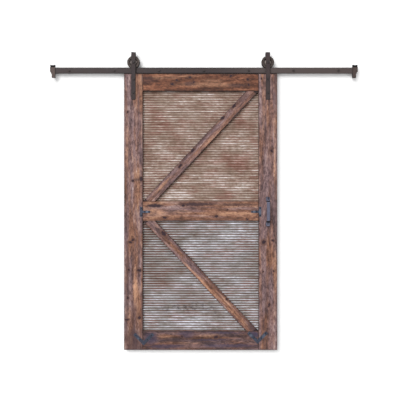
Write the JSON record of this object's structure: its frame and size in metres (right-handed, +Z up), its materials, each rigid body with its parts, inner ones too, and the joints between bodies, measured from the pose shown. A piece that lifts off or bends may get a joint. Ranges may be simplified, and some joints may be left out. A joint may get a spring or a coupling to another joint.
{
  "type": "sliding barn door",
  "caption": "Sliding barn door: a K-braced timber leaf with corrugated metal panels, hung on grooved wheels from a flat wall track.",
  "frame": {"origin": "middle of the line of track bolts, on the face of the wall", "axes": "+X to the right along the track, +Y into the wall along the bolts, +Z up"},
  "size_m": [2.382, 0.142, 2.3063],
  "materials": {
    "stained_timber": "brown stained rustic timber, open grain, eased edges",
    "backing_plywood": "plain board, stained",
    "rusted_galvanised_sheet": "weathered corrugated sheet, brown rust in the valleys",
    "weathered_galvanised_sheet": "weathered corrugated sheet, greyer, with smudges",
    "dark_bronze_steel": "dark bronze powder coat, worn",
    "dark_bronze_wheel": "dark bronze powder coat on turned steel",
    "handle_steel": "dark bluish grey coat, worn bright on the grip",
    "plate_steel": "dark blue grey coat, worn",
    "bumper_rubber": "black moulded rubber",
    "bearing_steel": "ground bearing steel",
    "fixing_steel": "black oxide steel, rubbed on the heads"
  },
  "bodies": {
    "track": {"track_bar": "dark_bronze_steel", "track_spacers": "fixing_steel", "track_washers": "fixing_steel", "track_lag_bolts": "fixing_steel", "left_end_stop": "dark_bronze_steel", "right_end_stop": "dark_bronze_steel", "left_stop_bumper": "bumper_rubber", "right_stop_bumper": "bumper_rubber", "stop_set_screws": "fixing_steel"},
    "door": {"left_stile": "stained_timber", "right_stile": "stained_timber", "top_rail": "stained_timber", "middle_rail": "stained_timber", "bottom_rail": "stained_timber", "upper_backing_board": "backing_plywood", "lower_backing_board": "backing_plywood", "upper_corrugated_sheet": "rusted_galvanised_sheet", "lower_corrugated_sheet": "weathered_galvanised_sheet", "upper_brace": "stained_timber", "lower_brace": "stained_timber", "brace_screws": "fixing_steel", "left_tee_strap": "plate_steel", "right_tee_strap": "plate_steel", "left_corner_strap": "plate_steel", "right_corner_strap": "plate_steel", "strap_screws": "fixing_steel", "pull_handle": "handle_steel", "handle_screws": "fixing_steel", "left_hanger_strap": "dark_bronze_steel", "right_hanger_strap": "dark_bronze_steel", "hanger_bolts": "fixing_steel", "hanger_washers": "fixing_steel", "hanger_nuts": "fixing_steel", "left_axle_bolt": "fixing_steel", "right_axle_bolt": "fixing_steel", "axle_nuts": "fixing_steel", "axle_sleeves": "fixing_steel", "left_bearing_inner_ring": "bearing_steel", "right_bearing_inner_ring": "bearing_steel"},
    "left_roller": {"left_wheel": "dark_bronze_wheel", "left_bearing_outer_ring": "bearing_steel"},
    "right_roller": {"right_wheel": "dark_bronze_wheel", "right_bearing_outer_ring": "bearing_steel"},
    "left_ball_set": {"left_bearing_balls": "bearing_steel", "left_bearing_cage": "bearing_steel"},
    "right_ball_set": {"right_bearing_balls": "bearing_steel", "right_bearing_cage": "bearing_steel"}
  },
  "joints": [
    {"name": "door_slide", "type": "slide", "parent": "track", "child": "door", "axis": [1, 0, 0], "range_m": [-0.533, 0.583]},
    {"name": "left_wheel_spin", "type": "hinge", "parent": "door", "child": "left_roller", "pos_m": [-0.545, -0.035, 0.0633], "axis": [0, 1, 0], "continuous": true},
    {"name": "left_ball_set_spin", "type": "hinge", "parent": "door", "child": "left_ball_set", "pos_m": [-0.545, -0.035, 0.0633], "axis": [0, 1, 0], "continuous": true},
    {"name": "right_wheel_spin", "type": "hinge", "parent": "door", "child": "right_roller", "pos_m": [0.495, -0.035, 0.0633], "axis": [0, 1, 0], "continuous": true},
    {"name": "right_ball_set_spin", "type": "hinge", "parent": "door", "child": "right_ball_set", "pos_m": [0.495, -0.035, 0.0633], "axis": [0, 1, 0], "continuous": true}
  ],
  "couplings": [
    {"joint": "left_wheel_spin", "follows": "door_slide", "rad_per_m": 25},
    {"joint": "left_ball_set_spin", "follows": "door_slide", "rad_per_m": 15.227},
    {"joint": "right_wheel_spin", "follows": "door_slide", "rad_per_m": 25},
    {"joint": "right_ball_set_spin", "follows": "door_slide", "rad_per_m": 15.227}
  ]
}
